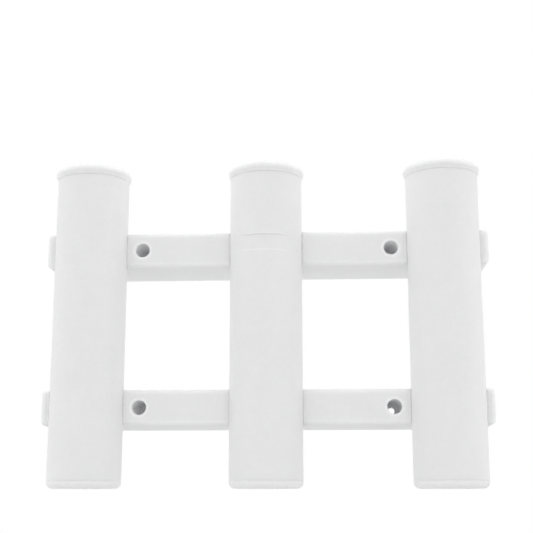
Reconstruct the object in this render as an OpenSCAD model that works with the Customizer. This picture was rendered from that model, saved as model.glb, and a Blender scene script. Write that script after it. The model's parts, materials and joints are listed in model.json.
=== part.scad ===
// Wall rack for three fishing rods: three upright tubes that stand in the half-round saddles of two rails.
// Origin: centre of the four wall screw holes, on the wall plane. +X right, +Y into the wall, +Z up.

/* [Rack] */
// Distance between neighbouring tube axes
tube_pitch = 118.7; // [112:0.1:126]
// Height from the underside of the bottom caps to the top of the mouth rings
rack_h = 213; // [190:1:240]
// Height of the lower pair of wall screws above the underside of the bottom caps
lower_screw_h = 52.3; // [45:0.1:58]
// Distance between the upper and lower wall screws, and so between the two rails
rail_spacing = 106; // [90:0.5:112]
// Distance from the wall to the tube axes
tube_standoff = 44.5; // [42:0.5:50]

/* [Tubes] */
// Outside diameter of each tube
tube_od = 48.3; // [47.5:0.1:49]
// Wall thickness of each tube
tube_wall = 3.5; // [3.2:0.1:4]
// Width of the blank label recess on the centre tube
label_w = 33; // [24:1:36]
// Height of the blank label recess
label_h = 10.2; // [6:0.2:14]
// Depth of the blank label recess at its middle, from where it runs out to both sides
label_depth = 0.8; // [0.3:0.05:1]

/* [Mouth rings] */
// Widest diameter of the rounded lip
lip_od = 51.1; // [50:0.1:52.5]
// Radius of the rounded lip
lip_r = 3; // [2.6:0.1:3.2]
// Height of the lip above the end of the tube
lip_h = 6.8; // [6.2:0.1:8]
// Diameter of the ring's own bore
ring_bore_d = 42; // [41.6:0.1:42.4]
// Length of the sleeve that is pressed into the mouth of the tube
ring_sleeve_h = 8; // [6:0.5:12]
// Wall thickness of that sleeve
ring_sleeve_wall = 1.2; // [1:0.1:1.4]

/* [Bottom caps] */
// Height of the cap's visible rim
cap_rim_h = 5; // [4.6:0.1:7]
// Radius of the rim's lower edge
cap_edge_r = 4.2; // [1.5:0.1:4.4]
// Length of the plug inside the tube
cap_plug_h = 9; // [6:0.5:14]
// Diameter of the drain hole
drain_d = 8; // [5:0.5:12]
// Depth of the dish that leads water to the drain hole
cap_dish_depth = 2; // [1:0.5:3]

/* [Rails] */
// Length of each rail, end to end
rail_l = 297.6; // [290:0.1:306]
// How far the rail's front face stands in front of the tube axes
rail_lip = 0.8; // [0.4:0.1:1.4]
// Height of the rail's front face
rail_front_h = 23.2; // [21:0.1:26]
// Draft angle of the rail's top and underside
rail_draft = 1; // [0.5:0.1:1.5]
// Wall thickness of the rail
rail_wall = 3; // [2.4:0.1:3.4]
// Radius of the rail's front edges
rail_edge_r = 2.4; // [1:0.1:2.6]
// Corner radius of the rail ends, seen from the front
rail_end_r = 4.5; // [3:0.1:6]
// Corner radius of the rail ends, seen from above
rail_corner_r = 2; // [1:0.1:3]
// Thickness of the stiffening ribs inside the rail
rib_t = 2.2; // [1.6:0.1:3]

/* [Wall screw holes] */
// Distance between the left and right wall screws
wall_screw_spacing = 167.5; // [164:0.1:170]
// Diameter of the clearance hole for the wall screw
wall_screw_hole_d = 4.8; // [4.5:0.1:6]
// Diameter of the deep counterbore that takes the screw head
counterbore_d = 9.7; // [9:0.1:10.5]
// Depth of the counterbore from the rail's front face
counterbore_depth = 38; // [10:0.5:40]
// Outside diameter of the boss around each wall screw hole
wall_boss_d = 17; // [16.6:0.1:18]

/* [Tube fixings] */
// Diameter of the boss on the back of each tube
tube_boss_d = 11; // [9:0.5:12]
// Diameter of the tube screw's shank
tube_screw_d = 4; // [3.5:0.1:4.2]
// Length of the shank under the head
tube_screw_l = 7; // [6:0.1:7.4]
// Diameter of the screw head
tube_screw_head_d = 8.2; // [7:0.1:9]
// Height of the screw head
tube_screw_head_h = 2.8; // [2.2:0.1:3.2]
// Outside diameter of the washer
washer_od = 16; // [14:0.5:16.5]
// Thickness of the washer
washer_t = 1.2; // [0.8:0.1:1.6]

/* [Hidden] */
$fn = 96;

// Sides of the rack that a piece stands on
left = -1;
centre = 0;
right = 1;

// How far a cutting shape runs past the face that it cuts
past = 1;
// Radial gap of a sleeve, plug or boss in its hole
slip = 0.06;
// Radial gap between a tube and its saddle
saddle_gap = 0.05;
// How far a flat face dips below the round edge that it runs into, so that the two cross cleanly
dip = 0.01;

tube_r = tube_od / 2;
bore_r = tube_r - tube_wall;
rack_bottom = -rail_spacing / 2 - lower_screw_h;
rack_top = rack_bottom + rack_h;
tube_bottom = rack_bottom + cap_rim_h;
tube_top = rack_top - lip_h;
rail_z = rail_spacing / 2;
tube_y = -tube_standoff;

ring_bore_r = ring_bore_d / 2;
sleeve_r = ring_bore_r + ring_sleeve_wall;
// The tube is opened a little deeper than the sleeve is long
sleeve_seat_h = ring_sleeve_h + 0.3;
lip_centre_r = lip_od / 2 - lip_r;

// The foot of the tube is opened a little, so that the cap's plug sits against a shoulder
plug_seat_r = bore_r + 0.6;
plug_r = plug_seat_r - slip;
dish_r = plug_r - 2;
plug_top = tube_bottom + cap_plug_h;
// Bevel that marks the joint between tube and cap
joint_bevel = 0.12;

rail_depth = tube_standoff + rail_lip;
rail_front = -rail_depth;
saddle_r = tube_r + saddle_gap;
saddle_back = tube_y + saddle_r + rail_wall;
// A flat pad behind each saddle carries the washer
pad_t = 1.2;
pad_face = saddle_back + pad_t;
pad_d = washer_od + 1.5;
// The tube's boss ends just short of the pad, so that the screw pulls the tube into its saddle
boss_short = 0.4;
boss_end = pad_face - tube_y - boss_short;
pilot_depth = tube_screw_l - washer_t + 0.2;
pilot_r = tube_screw_d / 2 + 0.03;
// Ribs stand at these fractions of the way from one tube axis to the next, and stop short of the wall
rib_places = [0.3, 0.5];
rib_short = 8;

// Point where a line from p touches a circle at c with radius r, on the outer side
function tangent_point(c, r, p) =
    let (d = norm(p - c), a = atan2(p[1] - c[1], p[0] - c[0]) + acos(r / d))
    c + r * [cos(a), sin(a)];

// Places a piece on the axis of one tube
module at_tube(side) {
    translate([side * tube_pitch, tube_y, 0]) children();
}

// Turns a piece that stands along +Z so that it points into the wall
module towards_wall() {
    rotate([-90, 0, 0]) children();
}

// ---- Tubes ----

module tube_boss() {
    towards_wall() cylinder(h = boss_end, d = tube_boss_d);
}

module pilot_hole() {
    translate([0, boss_end - pilot_depth, 0])
        towards_wall() cylinder(h = pilot_depth + past, r = pilot_r);
}

module tube_body() {
    difference() {
        union() {
            translate([0, 0, tube_bottom]) cylinder(h = tube_top - tube_bottom, r = tube_r);
            for (z = [-rail_z, rail_z]) translate([0, 0, z]) tube_boss();
        }
        translate([0, 0, tube_bottom - past]) cylinder(h = rack_h, r = bore_r);
        translate([0, 0, tube_bottom - past]) cylinder(h = cap_plug_h + past, r = plug_seat_r);
        translate([0, 0, tube_top - sleeve_seat_h])
            cylinder(h = sleeve_seat_h + past, r = sleeve_r + slip);
        for (z = [-rail_z, rail_z]) translate([0, 0, z]) pilot_hole();
    }
}

// The floor of the label recess is slightly flatter than the tube, so that the recess runs out at its sides.
// It is round about an axis behind the tube's own, and meets the tube's surface where the recess ends
label_floor_y = -sqrt(tube_r * tube_r - label_w * label_w / 4);
label_floor_middle = tube_r - label_depth;
label_axis_y =
    (tube_r * tube_r - label_floor_middle * label_floor_middle) / (2 * (label_floor_middle + label_floor_y));
label_floor_r = label_floor_middle + label_axis_y;

// Shallow blank field on the front of the tube, at the height of the upper rail
module label_recess() {
    translate([0, 0, rail_z - label_h / 2]) difference() {
        translate([-tube_r, -tube_od, 0]) cube([tube_od, tube_od, label_h]);
        translate([0, label_axis_y, -past]) cylinder(h = label_h + 2 * past, r = label_floor_r);
    }
}

module left_tube() {
    color("whitesmoke") at_tube(left) tube_body();
}

module centre_tube() {
    color("whitesmoke") at_tube(centre) difference() {
        tube_body();
        label_recess();
    }
}

module right_tube() {
    color("whitesmoke") at_tube(right) tube_body();
}

// ---- Mouth rings ----

// Section through the ring before its bore is cut
module ring_profile() {
    lip_centre = [lip_centre_r, rack_top - lip_r];
    foot = [tube_r, tube_top];
    inner_r = ring_bore_r - past;
    union() {
        translate(lip_centre) circle(r = lip_r);
        polygon([
            [inner_r, tube_top],
            foot,
            tangent_point(lip_centre, lip_r - slip, foot),
            lip_centre,
            [inner_r, rack_top - lip_r]
        ]);
        translate([inner_r, tube_top - ring_sleeve_h])
            square([sleeve_r - inner_r, ring_sleeve_h + past]);
    }
}

module ring_body() {
    difference() {
        rotate_extrude() ring_profile();
        translate([0, 0, tube_top - 2 * ring_sleeve_h])
            cylinder(h = 2 * ring_sleeve_h + lip_h + past, r = ring_bore_r);
    }
}

module left_mouth_ring() {
    color("white") at_tube(left) ring_body();
}

module centre_mouth_ring() {
    color("white") at_tube(centre) ring_body();
}

module right_mouth_ring() {
    color("white") at_tube(right) ring_body();
}

// ---- Bottom caps ----

module cap_profile() {
    union() {
        // Rim: flat underside, rounded lower edge, small bevel where it meets the tube
        square_w = tube_r - cap_edge_r;
        translate([0, rack_bottom]) square([square_w, cap_rim_h]);
        translate([square_w, rack_bottom + cap_edge_r]) circle(r = cap_edge_r);
        polygon([
            [0, rack_bottom + cap_edge_r],
            [tube_r, rack_bottom + cap_edge_r],
            [tube_r, tube_bottom - joint_bevel],
            [tube_r - joint_bevel, tube_bottom],
            [0, tube_bottom]
        ]);
        // Plug inside the tube
        square_h = plug_top - rack_bottom - cap_edge_r;
        translate([0, rack_bottom + cap_edge_r]) square([plug_r, square_h]);
    }
}

module cap_body() {
    difference() {
        rotate_extrude() cap_profile();
        translate([0, 0, plug_top - cap_dish_depth])
            cylinder(h = cap_dish_depth + slip, r1 = drain_d / 2, r2 = dish_r);
        translate([0, 0, rack_bottom - past])
            cylinder(h = cap_rim_h + cap_plug_h + 2 * past, d = drain_d);
    }
}

module left_bottom_cap() {
    color("white") at_tube(left) cap_body();
}

module centre_bottom_cap() {
    color("white") at_tube(centre) cap_body();
}

module right_bottom_cap() {
    color("white") at_tube(right) cap_body();
}

// ---- Rails ----

// Section of the rail: x is the distance from the wall, y the height
module rail_section() {
    edge_y = rail_front_h / 2 - rail_edge_r;
    edge_x = rail_front + rail_edge_r;
    side_x = edge_x - rail_edge_r * sin(rail_draft);
    side_y = edge_y + rail_edge_r * cos(rail_draft) - dip;
    back_y = side_y - side_x * tan(rail_draft);
    union() {
        for (s = [-1, 1]) translate([edge_x, s * edge_y]) circle(r = rail_edge_r);
        polygon([
            [rail_front, -edge_y], [rail_front, edge_y],
            [side_x, side_y], [0, back_y],
            [0, -back_y], [side_x, -side_y]
        ]);
    }
}

// Rectangle with rounded corners, centred on the origin
module rounded_rectangle(w, h, r) {
    union() {
        square([w - 2 * r, h], center = true);
        square([w, h - 2 * r], center = true);
        for (sx = [-1, 1], sy = [-1, 1])
            translate([sx * (w / 2 - r), sy * (h / 2 - r)]) circle(r = r);
    }
}

// Height of the rail where it meets the wall
rail_back_h = rail_front_h + 2 * rail_depth * tan(rail_draft);

module rail_outside() {
    intersection() {
        rotate([90, 0, 90]) linear_extrude(height = rail_l + 2 * past, center = true) rail_section();
        translate([0, past, 0]) rotate([90, 0, 0]) linear_extrude(height = rail_depth + 2 * past)
            rounded_rectangle(rail_l, rail_back_h, rail_end_r);
        // Rounded front corners in plan
        translate([0, rail_front / 2 + rail_corner_r, 0])
            linear_extrude(height = 2 * rail_back_h, center = true)
                rounded_rectangle(rail_l, rail_depth + 2 * rail_corner_r, rail_corner_r);
    }
}

module rail_hollow() {
    hollow_l = rail_l - 2 * rail_wall;
    hollow_h = rail_front_h - 2 * rail_wall;
    translate([-hollow_l / 2, rail_front + rail_wall, -hollow_h / 2])
        cube([hollow_l, rail_depth, hollow_h]);
}

// Everything that fills the hollow again: saddle walls, washer pads, screw bosses and ribs
module rail_inside() {
    inside_h = rail_front_h - rail_wall;
    // Solids inside the hollow start within the thickness of the front wall
    start_y = rail_front + rail_wall / 2;
    for (side = [left, centre, right]) translate([side * tube_pitch, tube_y, -inside_h / 2])
        cylinder(h = inside_h, r = saddle_r + rail_wall);
    for (side = [left, centre, right]) translate([side * tube_pitch, tube_y, 0])
        towards_wall() cylinder(h = pad_face - tube_y, d = pad_d);
    for (side = [left, right]) translate([side * wall_screw_spacing / 2, start_y, 0])
        towards_wall() cylinder(h = -start_y, d = wall_boss_d);
    for (side = [left, right], place = rib_places)
        translate([side * place * tube_pitch - rib_t / 2, start_y, -inside_h / 2])
            cube([rib_t, -start_y - rib_short, inside_h]);
}

module saddle_cut() {
    cylinder(h = 2 * rail_back_h, r = saddle_r, center = true);
    towards_wall() cylinder(h = tube_standoff, r = tube_boss_d / 2 + slip);
}

module wall_screw_hole() {
    translate([0, rail_front - past, 0]) {
        towards_wall() cylinder(h = counterbore_depth + past, d = counterbore_d);
        towards_wall() cylinder(h = rail_depth + 2 * past, d = wall_screw_hole_d);
    }
}

module rail_body() {
    difference() {
        union() {
            difference() {
                rail_outside();
                rail_hollow();
            }
            intersection() {
                rail_outside();
                rail_inside();
            }
        }
        for (side = [left, centre, right])
            translate([side * tube_pitch, tube_y, 0]) saddle_cut();
        for (side = [left, right])
            translate([side * wall_screw_spacing / 2, 0, 0]) wall_screw_hole();
    }
}

module upper_rail() {
    color("gainsboro") translate([0, 0, rail_z]) rail_body();
}

module lower_rail() {
    color("gainsboro") translate([0, 0, -rail_z]) rail_body();
}

// ---- Tube fixings ----

module washer() {
    towards_wall() difference() {
        cylinder(h = washer_t, d = washer_od);
        translate([0, 0, -past]) cylinder(h = washer_t + 2 * past, r = tube_screw_d / 2 + 0.2);
    }
}

// Pan-head screw: the underside of the head is at the origin and the shank points away from the wall
module tube_screw() {
    head_edge_r = tube_screw_head_h / 2;
    recess_l = tube_screw_head_d * 0.56;
    recess_w = 1.1;
    recess_depth = 1.5;
    towards_wall() difference() {
        union() {
            rotate_extrude() union() {
                square([tube_screw_head_d / 2 - head_edge_r, tube_screw_head_h]);
                square([tube_screw_head_d / 2, tube_screw_head_h - head_edge_r]);
                translate([tube_screw_head_d / 2 - head_edge_r, tube_screw_head_h - head_edge_r])
                    circle(r = head_edge_r);
            }
            translate([0, 0, -tube_screw_l]) cylinder(h = tube_screw_l + past, d = tube_screw_d);
        }
        for (a = [0, 90]) rotate([0, 0, a])
            translate([-recess_l / 2, -recess_w / 2, tube_screw_head_h - recess_depth])
                cube([recess_l, recess_w, recess_depth + past]);
    }
}

module at_fixings(y) {
    for (side = [left, centre, right]) translate([side * tube_pitch, y, 0]) children();
}

module upper_tube_screws() {
    color("silver") translate([0, 0, rail_z]) at_fixings(pad_face + washer_t) tube_screw();
}

module lower_tube_screws() {
    color("silver") translate([0, 0, -rail_z]) at_fixings(pad_face + washer_t) tube_screw();
}

module upper_tube_washers() {
    color("silver") translate([0, 0, rail_z]) at_fixings(pad_face) washer();
}

module lower_tube_washers() {
    color("silver") translate([0, 0, -rail_z]) at_fixings(pad_face) washer();
}

left_tube();
centre_tube();
right_tube();
left_mouth_ring();
centre_mouth_ring();
right_mouth_ring();
left_bottom_cap();
centre_bottom_cap();
right_bottom_cap();
upper_rail();
lower_rail();
upper_tube_screws();
lower_tube_screws();
upper_tube_washers();
lower_tube_washers();
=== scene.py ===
import json
import math
import bmesh
import bpy
from mathutils import Euler, Matrix, Vector

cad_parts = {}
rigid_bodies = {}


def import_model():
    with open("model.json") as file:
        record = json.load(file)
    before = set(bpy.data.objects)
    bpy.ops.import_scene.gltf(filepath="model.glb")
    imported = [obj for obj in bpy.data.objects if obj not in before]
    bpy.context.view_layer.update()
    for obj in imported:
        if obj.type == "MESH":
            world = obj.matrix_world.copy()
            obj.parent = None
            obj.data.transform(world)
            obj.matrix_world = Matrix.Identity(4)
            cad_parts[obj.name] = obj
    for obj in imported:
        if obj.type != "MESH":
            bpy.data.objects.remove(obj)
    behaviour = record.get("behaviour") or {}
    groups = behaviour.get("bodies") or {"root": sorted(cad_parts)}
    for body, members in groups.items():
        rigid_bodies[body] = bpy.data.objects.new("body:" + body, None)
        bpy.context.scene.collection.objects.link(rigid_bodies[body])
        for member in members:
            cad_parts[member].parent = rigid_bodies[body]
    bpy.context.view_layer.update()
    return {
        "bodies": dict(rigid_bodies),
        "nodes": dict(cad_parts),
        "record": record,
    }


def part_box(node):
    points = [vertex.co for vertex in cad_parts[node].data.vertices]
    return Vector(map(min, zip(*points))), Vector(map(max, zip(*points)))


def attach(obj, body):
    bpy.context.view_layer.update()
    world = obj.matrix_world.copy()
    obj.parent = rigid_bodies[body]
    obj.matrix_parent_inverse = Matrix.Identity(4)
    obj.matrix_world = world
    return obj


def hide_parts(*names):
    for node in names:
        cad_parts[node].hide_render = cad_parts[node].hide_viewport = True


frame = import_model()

# Lengths are in metres; names ending in _MM or _mm are in millimetres.
MM = 0.001


# ---- Camera ----

CAMERA_PLACE = (0.03749, -0.74655, -0.11133)
CAMERA_LENS = 72.26
# How far the camera looks up, and how far it is turned to its left, in degrees
LOOK_UP = 12.225
LOOK_LEFT = 3.034


def make_camera():
    """The camera stands in front of the rack, a little right of its middle, and looks up from below."""
    data = bpy.data.cameras.new("camera")
    data.sensor_width = 36
    data.lens = CAMERA_LENS
    data.clip_start = 0.01
    camera = bpy.data.objects.new("camera", data)
    camera.location = CAMERA_PLACE
    camera.rotation_euler = Euler((math.radians(90 + LOOK_UP), 0, math.radians(LOOK_LEFT)))
    bpy.context.scene.collection.objects.link(camera)
    bpy.context.scene.camera = camera


# ---- Node helpers ----

# Noise rarely leaves this part of its range from 0 to 1
NOISE_LOW = 0.3
NOISE_HIGH = 0.7


class Nodes:
    """A material's node tree, with short calls for the nodes that the materials share."""

    def __init__(self, name):
        self.material = bpy.data.materials.new(name)
        self.material.use_nodes = True
        self.tree = self.material.node_tree
        self.shader = self.tree.nodes["Principled BSDF"]
        self.place = self.new("ShaderNodeTexCoord").outputs["Object"]

    def new(self, kind, **settings):
        node = self.tree.nodes.new(kind)
        for key, value in settings.items():
            setattr(node, key, value)
        return node

    def link(self, output, socket):
        self.tree.links.new(output, socket)

    def stretched(self, scale):
        """The place on the object, for a pattern that is scale times as large along each axis."""
        node = self.new("ShaderNodeMapping", vector_type="TEXTURE")
        node.inputs["Scale"].default_value = scale
        self.link(self.place, node.inputs["Vector"])
        return node.outputs["Vector"]

    def noise(self, size_mm, detail=2.0, rough=0.5, vector=None, offset=0.0):
        """Noise whose blotches are about size_mm across, from 0 to 1."""
        node = self.new("ShaderNodeTexNoise", noise_dimensions="4D")
        node.inputs["W"].default_value = offset
        node.inputs["Scale"].default_value = 1 / (size_mm * MM)
        node.inputs["Detail"].default_value = detail
        node.inputs["Roughness"].default_value = rough
        self.link(vector or self.place, node.inputs["Vector"])
        return node.outputs["Fac"]

    def spread(self, value, low, high, from_low=0.0, from_high=1.0):
        """A value moved from one range to another, and kept inside it."""
        node = self.new("ShaderNodeMapRange")
        node.inputs["From Min"].default_value = from_low
        node.inputs["From Max"].default_value = from_high
        node.inputs["To Min"].default_value = low
        node.inputs["To Max"].default_value = high
        self.link(value, node.inputs["Value"])
        return node.outputs["Result"]

    def vary(self, noise, low, high):
        """Noise spread over the whole way from low to high."""
        return self.spread(noise, low, high, NOISE_LOW, NOISE_HIGH)

    def combine(self, a, b, operation="ADD"):
        node = self.new("ShaderNodeMath", operation=operation)
        self.link(a, node.inputs[0])
        self.link(b, node.inputs[1])
        return node.outputs["Value"]

    def blend(self, amount, a, b):
        """Colour a where amount is 0 and b where it is 1. Each is a colour or an output."""
        node = self.new("ShaderNodeMix", data_type="RGBA")
        self.link(amount, node.inputs["Factor"])
        # A mix node has sockets named A, B and Result for each data type; these are the ones for colours
        for colour, socket in ((a, node.inputs[6]), (b, node.inputs[7])):
            if isinstance(colour, bpy.types.NodeSocket):
                self.link(colour, socket)
            else:
                socket.default_value = (*colour, 1)
        return node.outputs[2]

    def edges(self, reach_mm, sharpness):
        """1 along the object's outer edges, 0 on its faces. It looks inwards from the surface as far as
        reach_mm. A small sharpness also takes in gentle roundings."""
        inwards = self.new("ShaderNodeAmbientOcclusion", inside=True, only_local=True, samples=12)
        inwards.inputs["Distance"].default_value = reach_mm * MM
        return self.spread(inwards.outputs["AO"], 1, 0, 1 - sharpness, 0.99)

    def bump(self, height, distance_mm, under=None):
        node = self.new("ShaderNodeBump")
        node.inputs["Distance"].default_value = distance_mm * MM
        node.inputs["Strength"].default_value = 1
        self.link(height, node.inputs["Height"])
        if under is not None:
            self.link(under, node.inputs["Normal"])
        return node.outputs["Normal"]


# ---- Materials ----

# Shares of the large blotches and the small flecks in a plastic's tone
BLOTCH_SHARE = 0.45
FLECK_SHARE = 0.55
# Factors from a plastic's colour to its darkest and its palest tone
DARKEST = 0.975
PALEST = 1.02


def shade(colour, factor):
    return tuple(min(channel * factor, 1) for channel in colour)


def moulded_plastic(name, colour, roughness, grain_mm, grain_depth_mm, glow_mm,
                    edge_reach_mm, edge_sharpness, edge_highlight_paleness, seed):
    """White moulded plastic: a fine mould grain, faint blotches, and outer edges made smoother and painted
    paler as a highlight.
    Light passes about glow_mm through it."""
    n = Nodes(name)
    blotches = n.noise(size_mm=14, detail=3, offset=seed)
    flecks = n.noise(size_mm=2.6, detail=3, rough=0.65, offset=seed + 1)
    tone = n.combine(n.vary(blotches, 0, BLOTCH_SHARE), n.vary(flecks, 0, FLECK_SHARE))
    body = n.blend(tone, shade(colour, DARKEST), shade(colour, PALEST))
    # Painted highlight: outer edges are made paler, in patches, and smoother as well
    patchy = n.spread(n.noise(size_mm=3, detail=4, offset=seed + 2), 0.6, 1, from_low=0.4, from_high=0.6)
    painted_highlight_edges = n.combine(n.edges(edge_reach_mm, edge_sharpness), patchy, "MULTIPLY")
    n.link(n.blend(painted_highlight_edges, body, shade(colour, edge_highlight_paleness)), n.shader.inputs["Base Color"])
    dull = n.vary(n.noise(size_mm=6, detail=3, offset=seed + 3), roughness - 0.05, roughness + 0.05)
    n.link(n.combine(dull, n.spread(painted_highlight_edges, 0, -0.1)), n.shader.inputs["Roughness"])
    grain = n.noise(grain_mm, detail=2, rough=0.55, offset=seed + 4)
    waves = n.noise(size_mm=9, detail=1, offset=seed + 5)
    coarse = n.bump(waves, distance_mm=0.05)
    n.link(n.bump(grain, grain_depth_mm, under=coarse), n.shader.inputs["Normal"])
    n.shader.inputs["IOR"].default_value = 1.5
    n.shader.inputs["Subsurface Weight"].default_value = 0.6
    n.shader.inputs["Subsurface Radius"].default_value = (1, 1, 1)
    n.shader.inputs["Subsurface Scale"].default_value = glow_mm * MM
    return n.material


def stainless_steel(name, colour, roughness, seed):
    """Turned and tumbled stainless steel: fine lines across the face, and blotches of a duller finish."""
    n = Nodes(name)
    lines = n.noise(size_mm=0.5, detail=4, rough=0.7, vector=n.stretched((0.08, 1, 1)), offset=seed)
    blotches = n.noise(size_mm=2.5, detail=3, offset=seed + 1)
    body = n.blend(blotches, shade(colour, 0.9), shade(colour, 1.08))
    worn = n.edges(reach_mm=0.4, sharpness=0.3)
    n.link(n.blend(worn, body, shade(colour, 1.25)), n.shader.inputs["Base Color"])
    dull = n.vary(blotches, roughness - 0.06, roughness + 0.08)
    n.link(n.combine(dull, n.spread(lines, -0.04, 0.06)), n.shader.inputs["Roughness"])
    n.link(n.bump(lines, distance_mm=0.01), n.shader.inputs["Normal"])
    n.shader.inputs["Metallic"].default_value = 1
    return n.material


def studio_paper(name):
    """Matt pale paper for the floor."""
    n = Nodes(name)
    fibres = n.noise(size_mm=40, detail=4)
    n.link(n.blend(fibres, (0.7, 0.7, 0.7), (0.73, 0.73, 0.73)), n.shader.inputs["Base Color"])
    n.shader.inputs["Roughness"].default_value = 0.9
    return n.material


# The looks of each material slot. The paleness of the outer edges is a painted highlight.
PLASTICS = {
    "tube_plastic": {
        "colour": (0.86, 0.86, 0.862), "roughness": 0.42, "grain_mm": 1.1, "grain_depth_mm": 0.04,
        "glow_mm": 1.5, "edge_reach_mm": 1, "edge_sharpness": 0.2, "edge_highlight_paleness": 1.08, "seed": 1},
    "ring_vinyl": {
        "colour": (0.865, 0.865, 0.87), "roughness": 0.33, "grain_mm": 0.8, "grain_depth_mm": 0.015,
        "glow_mm": 1.5, "edge_reach_mm": 2.6, "edge_sharpness": 0.06, "edge_highlight_paleness": 1.14, "seed": 11},
    "cap_plastic": {
        "colour": (0.88, 0.88, 0.882), "roughness": 0.38, "grain_mm": 0.9, "grain_depth_mm": 0.02,
        "glow_mm": 1.5, "edge_reach_mm": 3, "edge_sharpness": 0.05, "edge_highlight_paleness": 1.13, "seed": 21},
    "rail_plastic": {
        "colour": (0.89, 0.891, 0.895), "roughness": 0.45, "grain_mm": 1.2, "grain_depth_mm": 0.04,
        "glow_mm": 6, "edge_reach_mm": 2.2, "edge_sharpness": 0.07, "edge_highlight_paleness": 1.11, "seed": 31},
}
STEELS = {
    "screw_steel": {"colour": (0.62, 0.62, 0.63), "roughness": 0.3, "seed": 41},
    "washer_steel": {"colour": (0.66, 0.66, 0.67), "roughness": 0.34, "seed": 51},
}

SLOT_MATERIALS = {slot: moulded_plastic(slot, **looks) for slot, looks in PLASTICS.items()}
SLOT_MATERIALS.update({slot: stainless_steel(slot, **looks) for slot, looks in STEELS.items()})


def slot_of(node):
    return next(part["material_slot"] for part in frame["record"]["subparts"] if part["node"] == node)


# ---- Carried-over parts ----

# How far the edges of each material's parts are rounded. Tubes and caps keep the edges of the CAD model.
EDGE_MM = {"ring_vinyl": 0.06, "rail_plastic": 0.12, "washer_steel": 0.12}


def soften(obj, width_mm):
    """Joins the faces of a CAD part, and rounds its sharp edges a little."""
    weld = obj.modifiers.new("weld", "WELD")
    weld.merge_threshold = 0.002 * MM
    flat = obj.modifiers.new("flat", "DECIMATE")
    flat.decimate_type = "DISSOLVE"
    flat.angle_limit = math.radians(0.5)
    bevel = obj.modifiers.new("edges", "BEVEL")
    bevel.width = width_mm * MM
    bevel.segments = 2
    bevel.limit_method = "ANGLE"
    bevel.angle_limit = math.radians(35)
    bevel.harden_normals = True


for node, obj in frame["nodes"].items():
    slot = slot_of(node)
    obj.data.materials.clear()
    obj.data.materials.append(SLOT_MATERIALS[slot])
    if slot in EDGE_MM:
        soften(obj, EDGE_MM[slot])


# ---- Screws ----

# Height of the pan head and radius of the shank, as on the plain screws that these stand for
HEAD_MM = 2.8
SHANK_R_MM = 2
# Height of the head's straight side, and the bevel at its foot
HEAD_SIDE_MM = 1.1
HEAD_BEVEL_MM = 0.12
# The crown's outline: 1 would be an ellipse, and less is squarer at the rim
CROWN_POWER = 0.6
CROWN_ROWS = 12
# The shank ends just under the head
NECK_MM = 0.02

PITCH_MM = 1.4
THREAD_DEPTH_MM = 0.42
# Half the width of the thread's foot, as a share of the pitch
THREAD_HALF = 0.3
# How many turns it takes the thread to fade out under the head and towards the tip
FADE_AT_HEAD = 0.6
FADE_AT_TIP = 1
ROWS_PER_TURN = 14
SIDES = 48

# The cross recess: its depth, and half the length and half the width of an arm at the top and at the tip
RECESS_DEPTH_MM = 1.7
RECESS_TOP_MM = (2.5, 0.62)
RECESS_TIP_MM = (0.9, 0.34)
# How far the shape that cuts it stands out of the head
RECESS_PAST_MM = 0.3
QUARTER_TURN = math.pi / 2

# How far each of a rail's three screws happens to be turned, in degrees
TURNS = {"upper_tube_screws": (12, 71, 38), "lower_tube_screws": (55, 3, 83)}


def turned(bm, rows):
    """A closed solid round the Z axis. Each row is a height and a radius in millimetres, and the radius may
    depend on the angle. The first and last rows are closed with a flat face."""
    loops = []
    for height, radius in rows:
        loop = []
        for k in range(SIDES):
            angle = 2 * math.pi * k / SIDES
            r = radius(angle) if callable(radius) else radius
            loop.append(bm.verts.new((r * math.cos(angle) * MM, r * math.sin(angle) * MM, height * MM)))
        loops.append(loop)
    for low, high in zip(loops, loops[1:]):
        for k in range(SIDES):
            j = (k + 1) % SIDES
            bm.faces.new((low[k], low[j], high[j], high[k])).smooth = True
    bm.faces.new(reversed(loops[0]))
    bm.faces.new(loops[-1])


def thread_radius(height, crest, core):
    """The radius of a screw thread at one height, as a function of the angle. Crest and core are radii."""
    def radius(angle):
        turn = (height / PITCH_MM - angle / (2 * math.pi)) % 1
        ridge = max(0, 1 - abs(turn - 0.5) / THREAD_HALF)
        return core + (crest - core) * ridge
    return radius


def screw_rows(length, shank_r, head_r):
    """The screw from its tip, along a thread that fades in and out, to the crown of its pan head."""
    core = shank_r - THREAD_DEPTH_MM
    rows = [(-length, core - THREAD_DEPTH_MM)]
    steps = round(length / PITCH_MM * ROWS_PER_TURN)
    for k in range(1, steps):
        height = -length * (1 - k / steps)
        fade = min(1, (height + length) / (FADE_AT_TIP * PITCH_MM), -height / (FADE_AT_HEAD * PITCH_MM))
        rows.append((height, thread_radius(height, core + fade * THREAD_DEPTH_MM, core)))
    rows.append((-NECK_MM, core))
    rows.append((0, head_r - HEAD_BEVEL_MM))
    rows.append((HEAD_BEVEL_MM, head_r))
    rows.append((HEAD_SIDE_MM, head_r))
    for k in range(1, CROWN_ROWS):
        angle = QUARTER_TURN * k / CROWN_ROWS
        height = HEAD_SIDE_MM + (HEAD_MM - HEAD_SIDE_MM) * math.sin(angle)
        rows.append((height, head_r * math.cos(angle) ** CROWN_POWER))
    return rows


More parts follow.
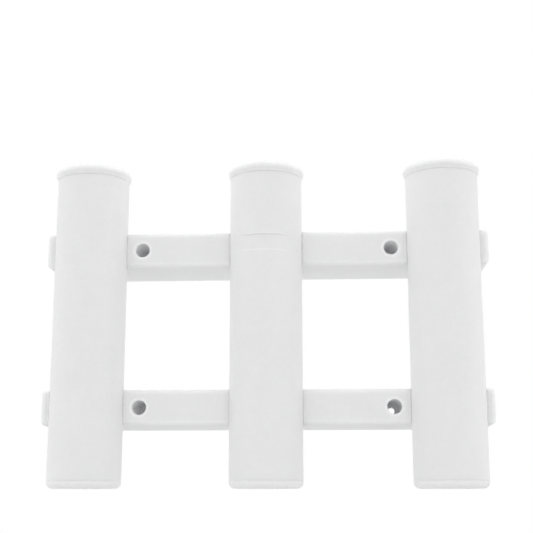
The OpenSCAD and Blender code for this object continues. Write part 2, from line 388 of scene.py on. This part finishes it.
def recess_cutter():
    """A cross that narrows towards its tip, to sink the driver recess into a screw head."""
    bm = bmesh.new()
    for quarter in (0, 1):
        top, tip = [], []
        for x, y in ((-1, -1), (1, -1), (1, 1), (-1, 1)):
            for corners, (half_l, half_w), height in (
                    (top, RECESS_TOP_MM, HEAD_MM + RECESS_PAST_MM),
                    (tip, RECESS_TIP_MM, HEAD_MM - RECESS_DEPTH_MM)):
                corners.append(bm.verts.new((x * half_l * MM, y * half_w * MM, height * MM)))
        for k in range(4):
            bm.faces.new((tip[k], tip[(k + 1) % 4], top[(k + 1) % 4], top[k]))
        bm.faces.new(reversed(tip))
        bm.faces.new(top)
        bmesh.ops.rotate(bm, verts=top + tip, matrix=Matrix.Rotation(QUARTER_TURN * quarter, 3, "Z"))
    mesh = bpy.data.meshes.new("recess")
    bm.to_mesh(mesh)
    bm.free()
    return bpy.data.objects.new("recess", mesh)


def screw_mesh(length, shank_r, head_r):
    """One pan-head screw, whose head sits on the XY plane and whose shank points down."""
    bm = bmesh.new()
    turned(bm, screw_rows(length, shank_r, head_r))
    mesh = bpy.data.meshes.new("screw")
    bm.to_mesh(mesh)
    bm.free()
    blank = bpy.data.objects.new("screw_blank", mesh)
    cutter = recess_cutter()
    for obj in (blank, cutter):
        bpy.context.scene.collection.objects.link(obj)
    cut = blank.modifiers.new("recess", "BOOLEAN")
    cut.object = cutter
    cut.solver = "EXACT"
    # The two arms of the cross overlap
    cut.use_self = True
    bpy.context.view_layer.update()
    done = bpy.data.meshes.new_from_object(blank.evaluated_get(bpy.context.evaluated_depsgraph_get()))
    for obj in (blank, cutter):
        bpy.data.objects.remove(obj)
    return done


def make_screws(node):
    """Three threaded screws in the places of one node's plain ones."""
    low, high = (Vector(corner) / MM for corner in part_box(node))
    head_r = (high.z - low.z) / 2
    length = high.y - low.y - HEAD_MM
    screw = screw_mesh(length, SHANK_R_MM, head_r)
    into_wall = Matrix.Rotation(-QUARTER_TURN, 4, "X")
    bm = bmesh.new()
    outer = high.x - head_r
    for x, turn in zip((-outer, 0, outer), TURNS[node]):
        first = len(bm.verts)
        bm.from_mesh(screw)
        bm.verts.ensure_lookup_table()
        place = Matrix.Translation(Vector((x, high.y - HEAD_MM, (high.z + low.z) / 2)) * MM)
        spin = Matrix.Rotation(math.radians(turn), 4, "Z")
        bmesh.ops.transform(bm, matrix=place @ into_wall @ spin, verts=bm.verts[first:])
    mesh = bpy.data.meshes.new(node + "_threaded")
    bm.to_mesh(mesh)
    bm.free()
    mesh.materials.append(SLOT_MATERIALS["screw_steel"])
    piece = bpy.data.objects.new(node + "_threaded", mesh)
    bpy.context.scene.collection.objects.link(piece)
    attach(piece, next(iter(frame["bodies"])))
    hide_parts(node)


for node in TURNS:
    make_screws(node)


# ---- Stage and light ----

# Height of the floor, and half its width
FLOOR_Z = -0.3
FLOOR_HALF = 4
# Brightness of the studio tent beside, above and below the rack, and in front of it and behind it
TENT_SIDES = 1.16
TENT_FRONT = 0.87


def make_stage():
    """A pale floor well below the rack."""
    mesh = bpy.data.meshes.new("floor")
    corners = [(x * FLOOR_HALF, y * FLOOR_HALF, FLOOR_Z) for x, y in ((-1, -1), (1, -1), (1, 1), (-1, 1))]
    mesh.from_pydata(corners, [], [(0, 1, 2, 3)])
    floor = bpy.data.objects.new("floor", mesh)
    floor.data.materials.append(studio_paper("floor"))
    bpy.context.scene.collection.objects.link(floor)


def make_light():
    """A white studio tent, brighter beside, above and below the rack than in front of it and behind it."""
    world = bpy.data.worlds.new("studio")
    world.use_nodes = True
    tree = world.node_tree
    sky = tree.nodes["Background"]
    sky.inputs["Color"].default_value = (1, 1, 1, 1)
    place = tree.nodes.new("ShaderNodeTexCoord")
    split = tree.nodes.new("ShaderNodeSeparateXYZ")
    tree.links.new(place.outputs["Generated"], split.inputs["Vector"])
    square = tree.nodes.new("ShaderNodeMath")
    square.operation = "MULTIPLY"
    tree.links.new(split.outputs["Y"], square.inputs[0])
    tree.links.new(split.outputs["Y"], square.inputs[1])
    tent = tree.nodes.new("ShaderNodeMapRange")
    tent.inputs["To Min"].default_value = TENT_SIDES
    tent.inputs["To Max"].default_value = TENT_FRONT
    tree.links.new(square.outputs["Value"], tent.inputs["Value"])
    # The paper seen behind the rack is plain white
    seen = tree.nodes.new("ShaderNodeLightPath")
    strength = tree.nodes.new("ShaderNodeMix")
    strength.inputs["B"].default_value = 1
    tree.links.new(seen.outputs["Is Camera Ray"], strength.inputs["Factor"])
    tree.links.new(tent.outputs["Result"], strength.inputs["A"])
    tree.links.new(strength.outputs["Result"], sky.inputs["Strength"])
    scene = bpy.context.scene
    scene.world = world
    scene.view_settings.view_transform = "Standard"
    # White plastic passes light on many times inside the screw sockets and tubes
    scene.cycles.max_bounces = 24
    scene.cycles.diffuse_bounces = 16


make_camera()
make_stage()
make_light()
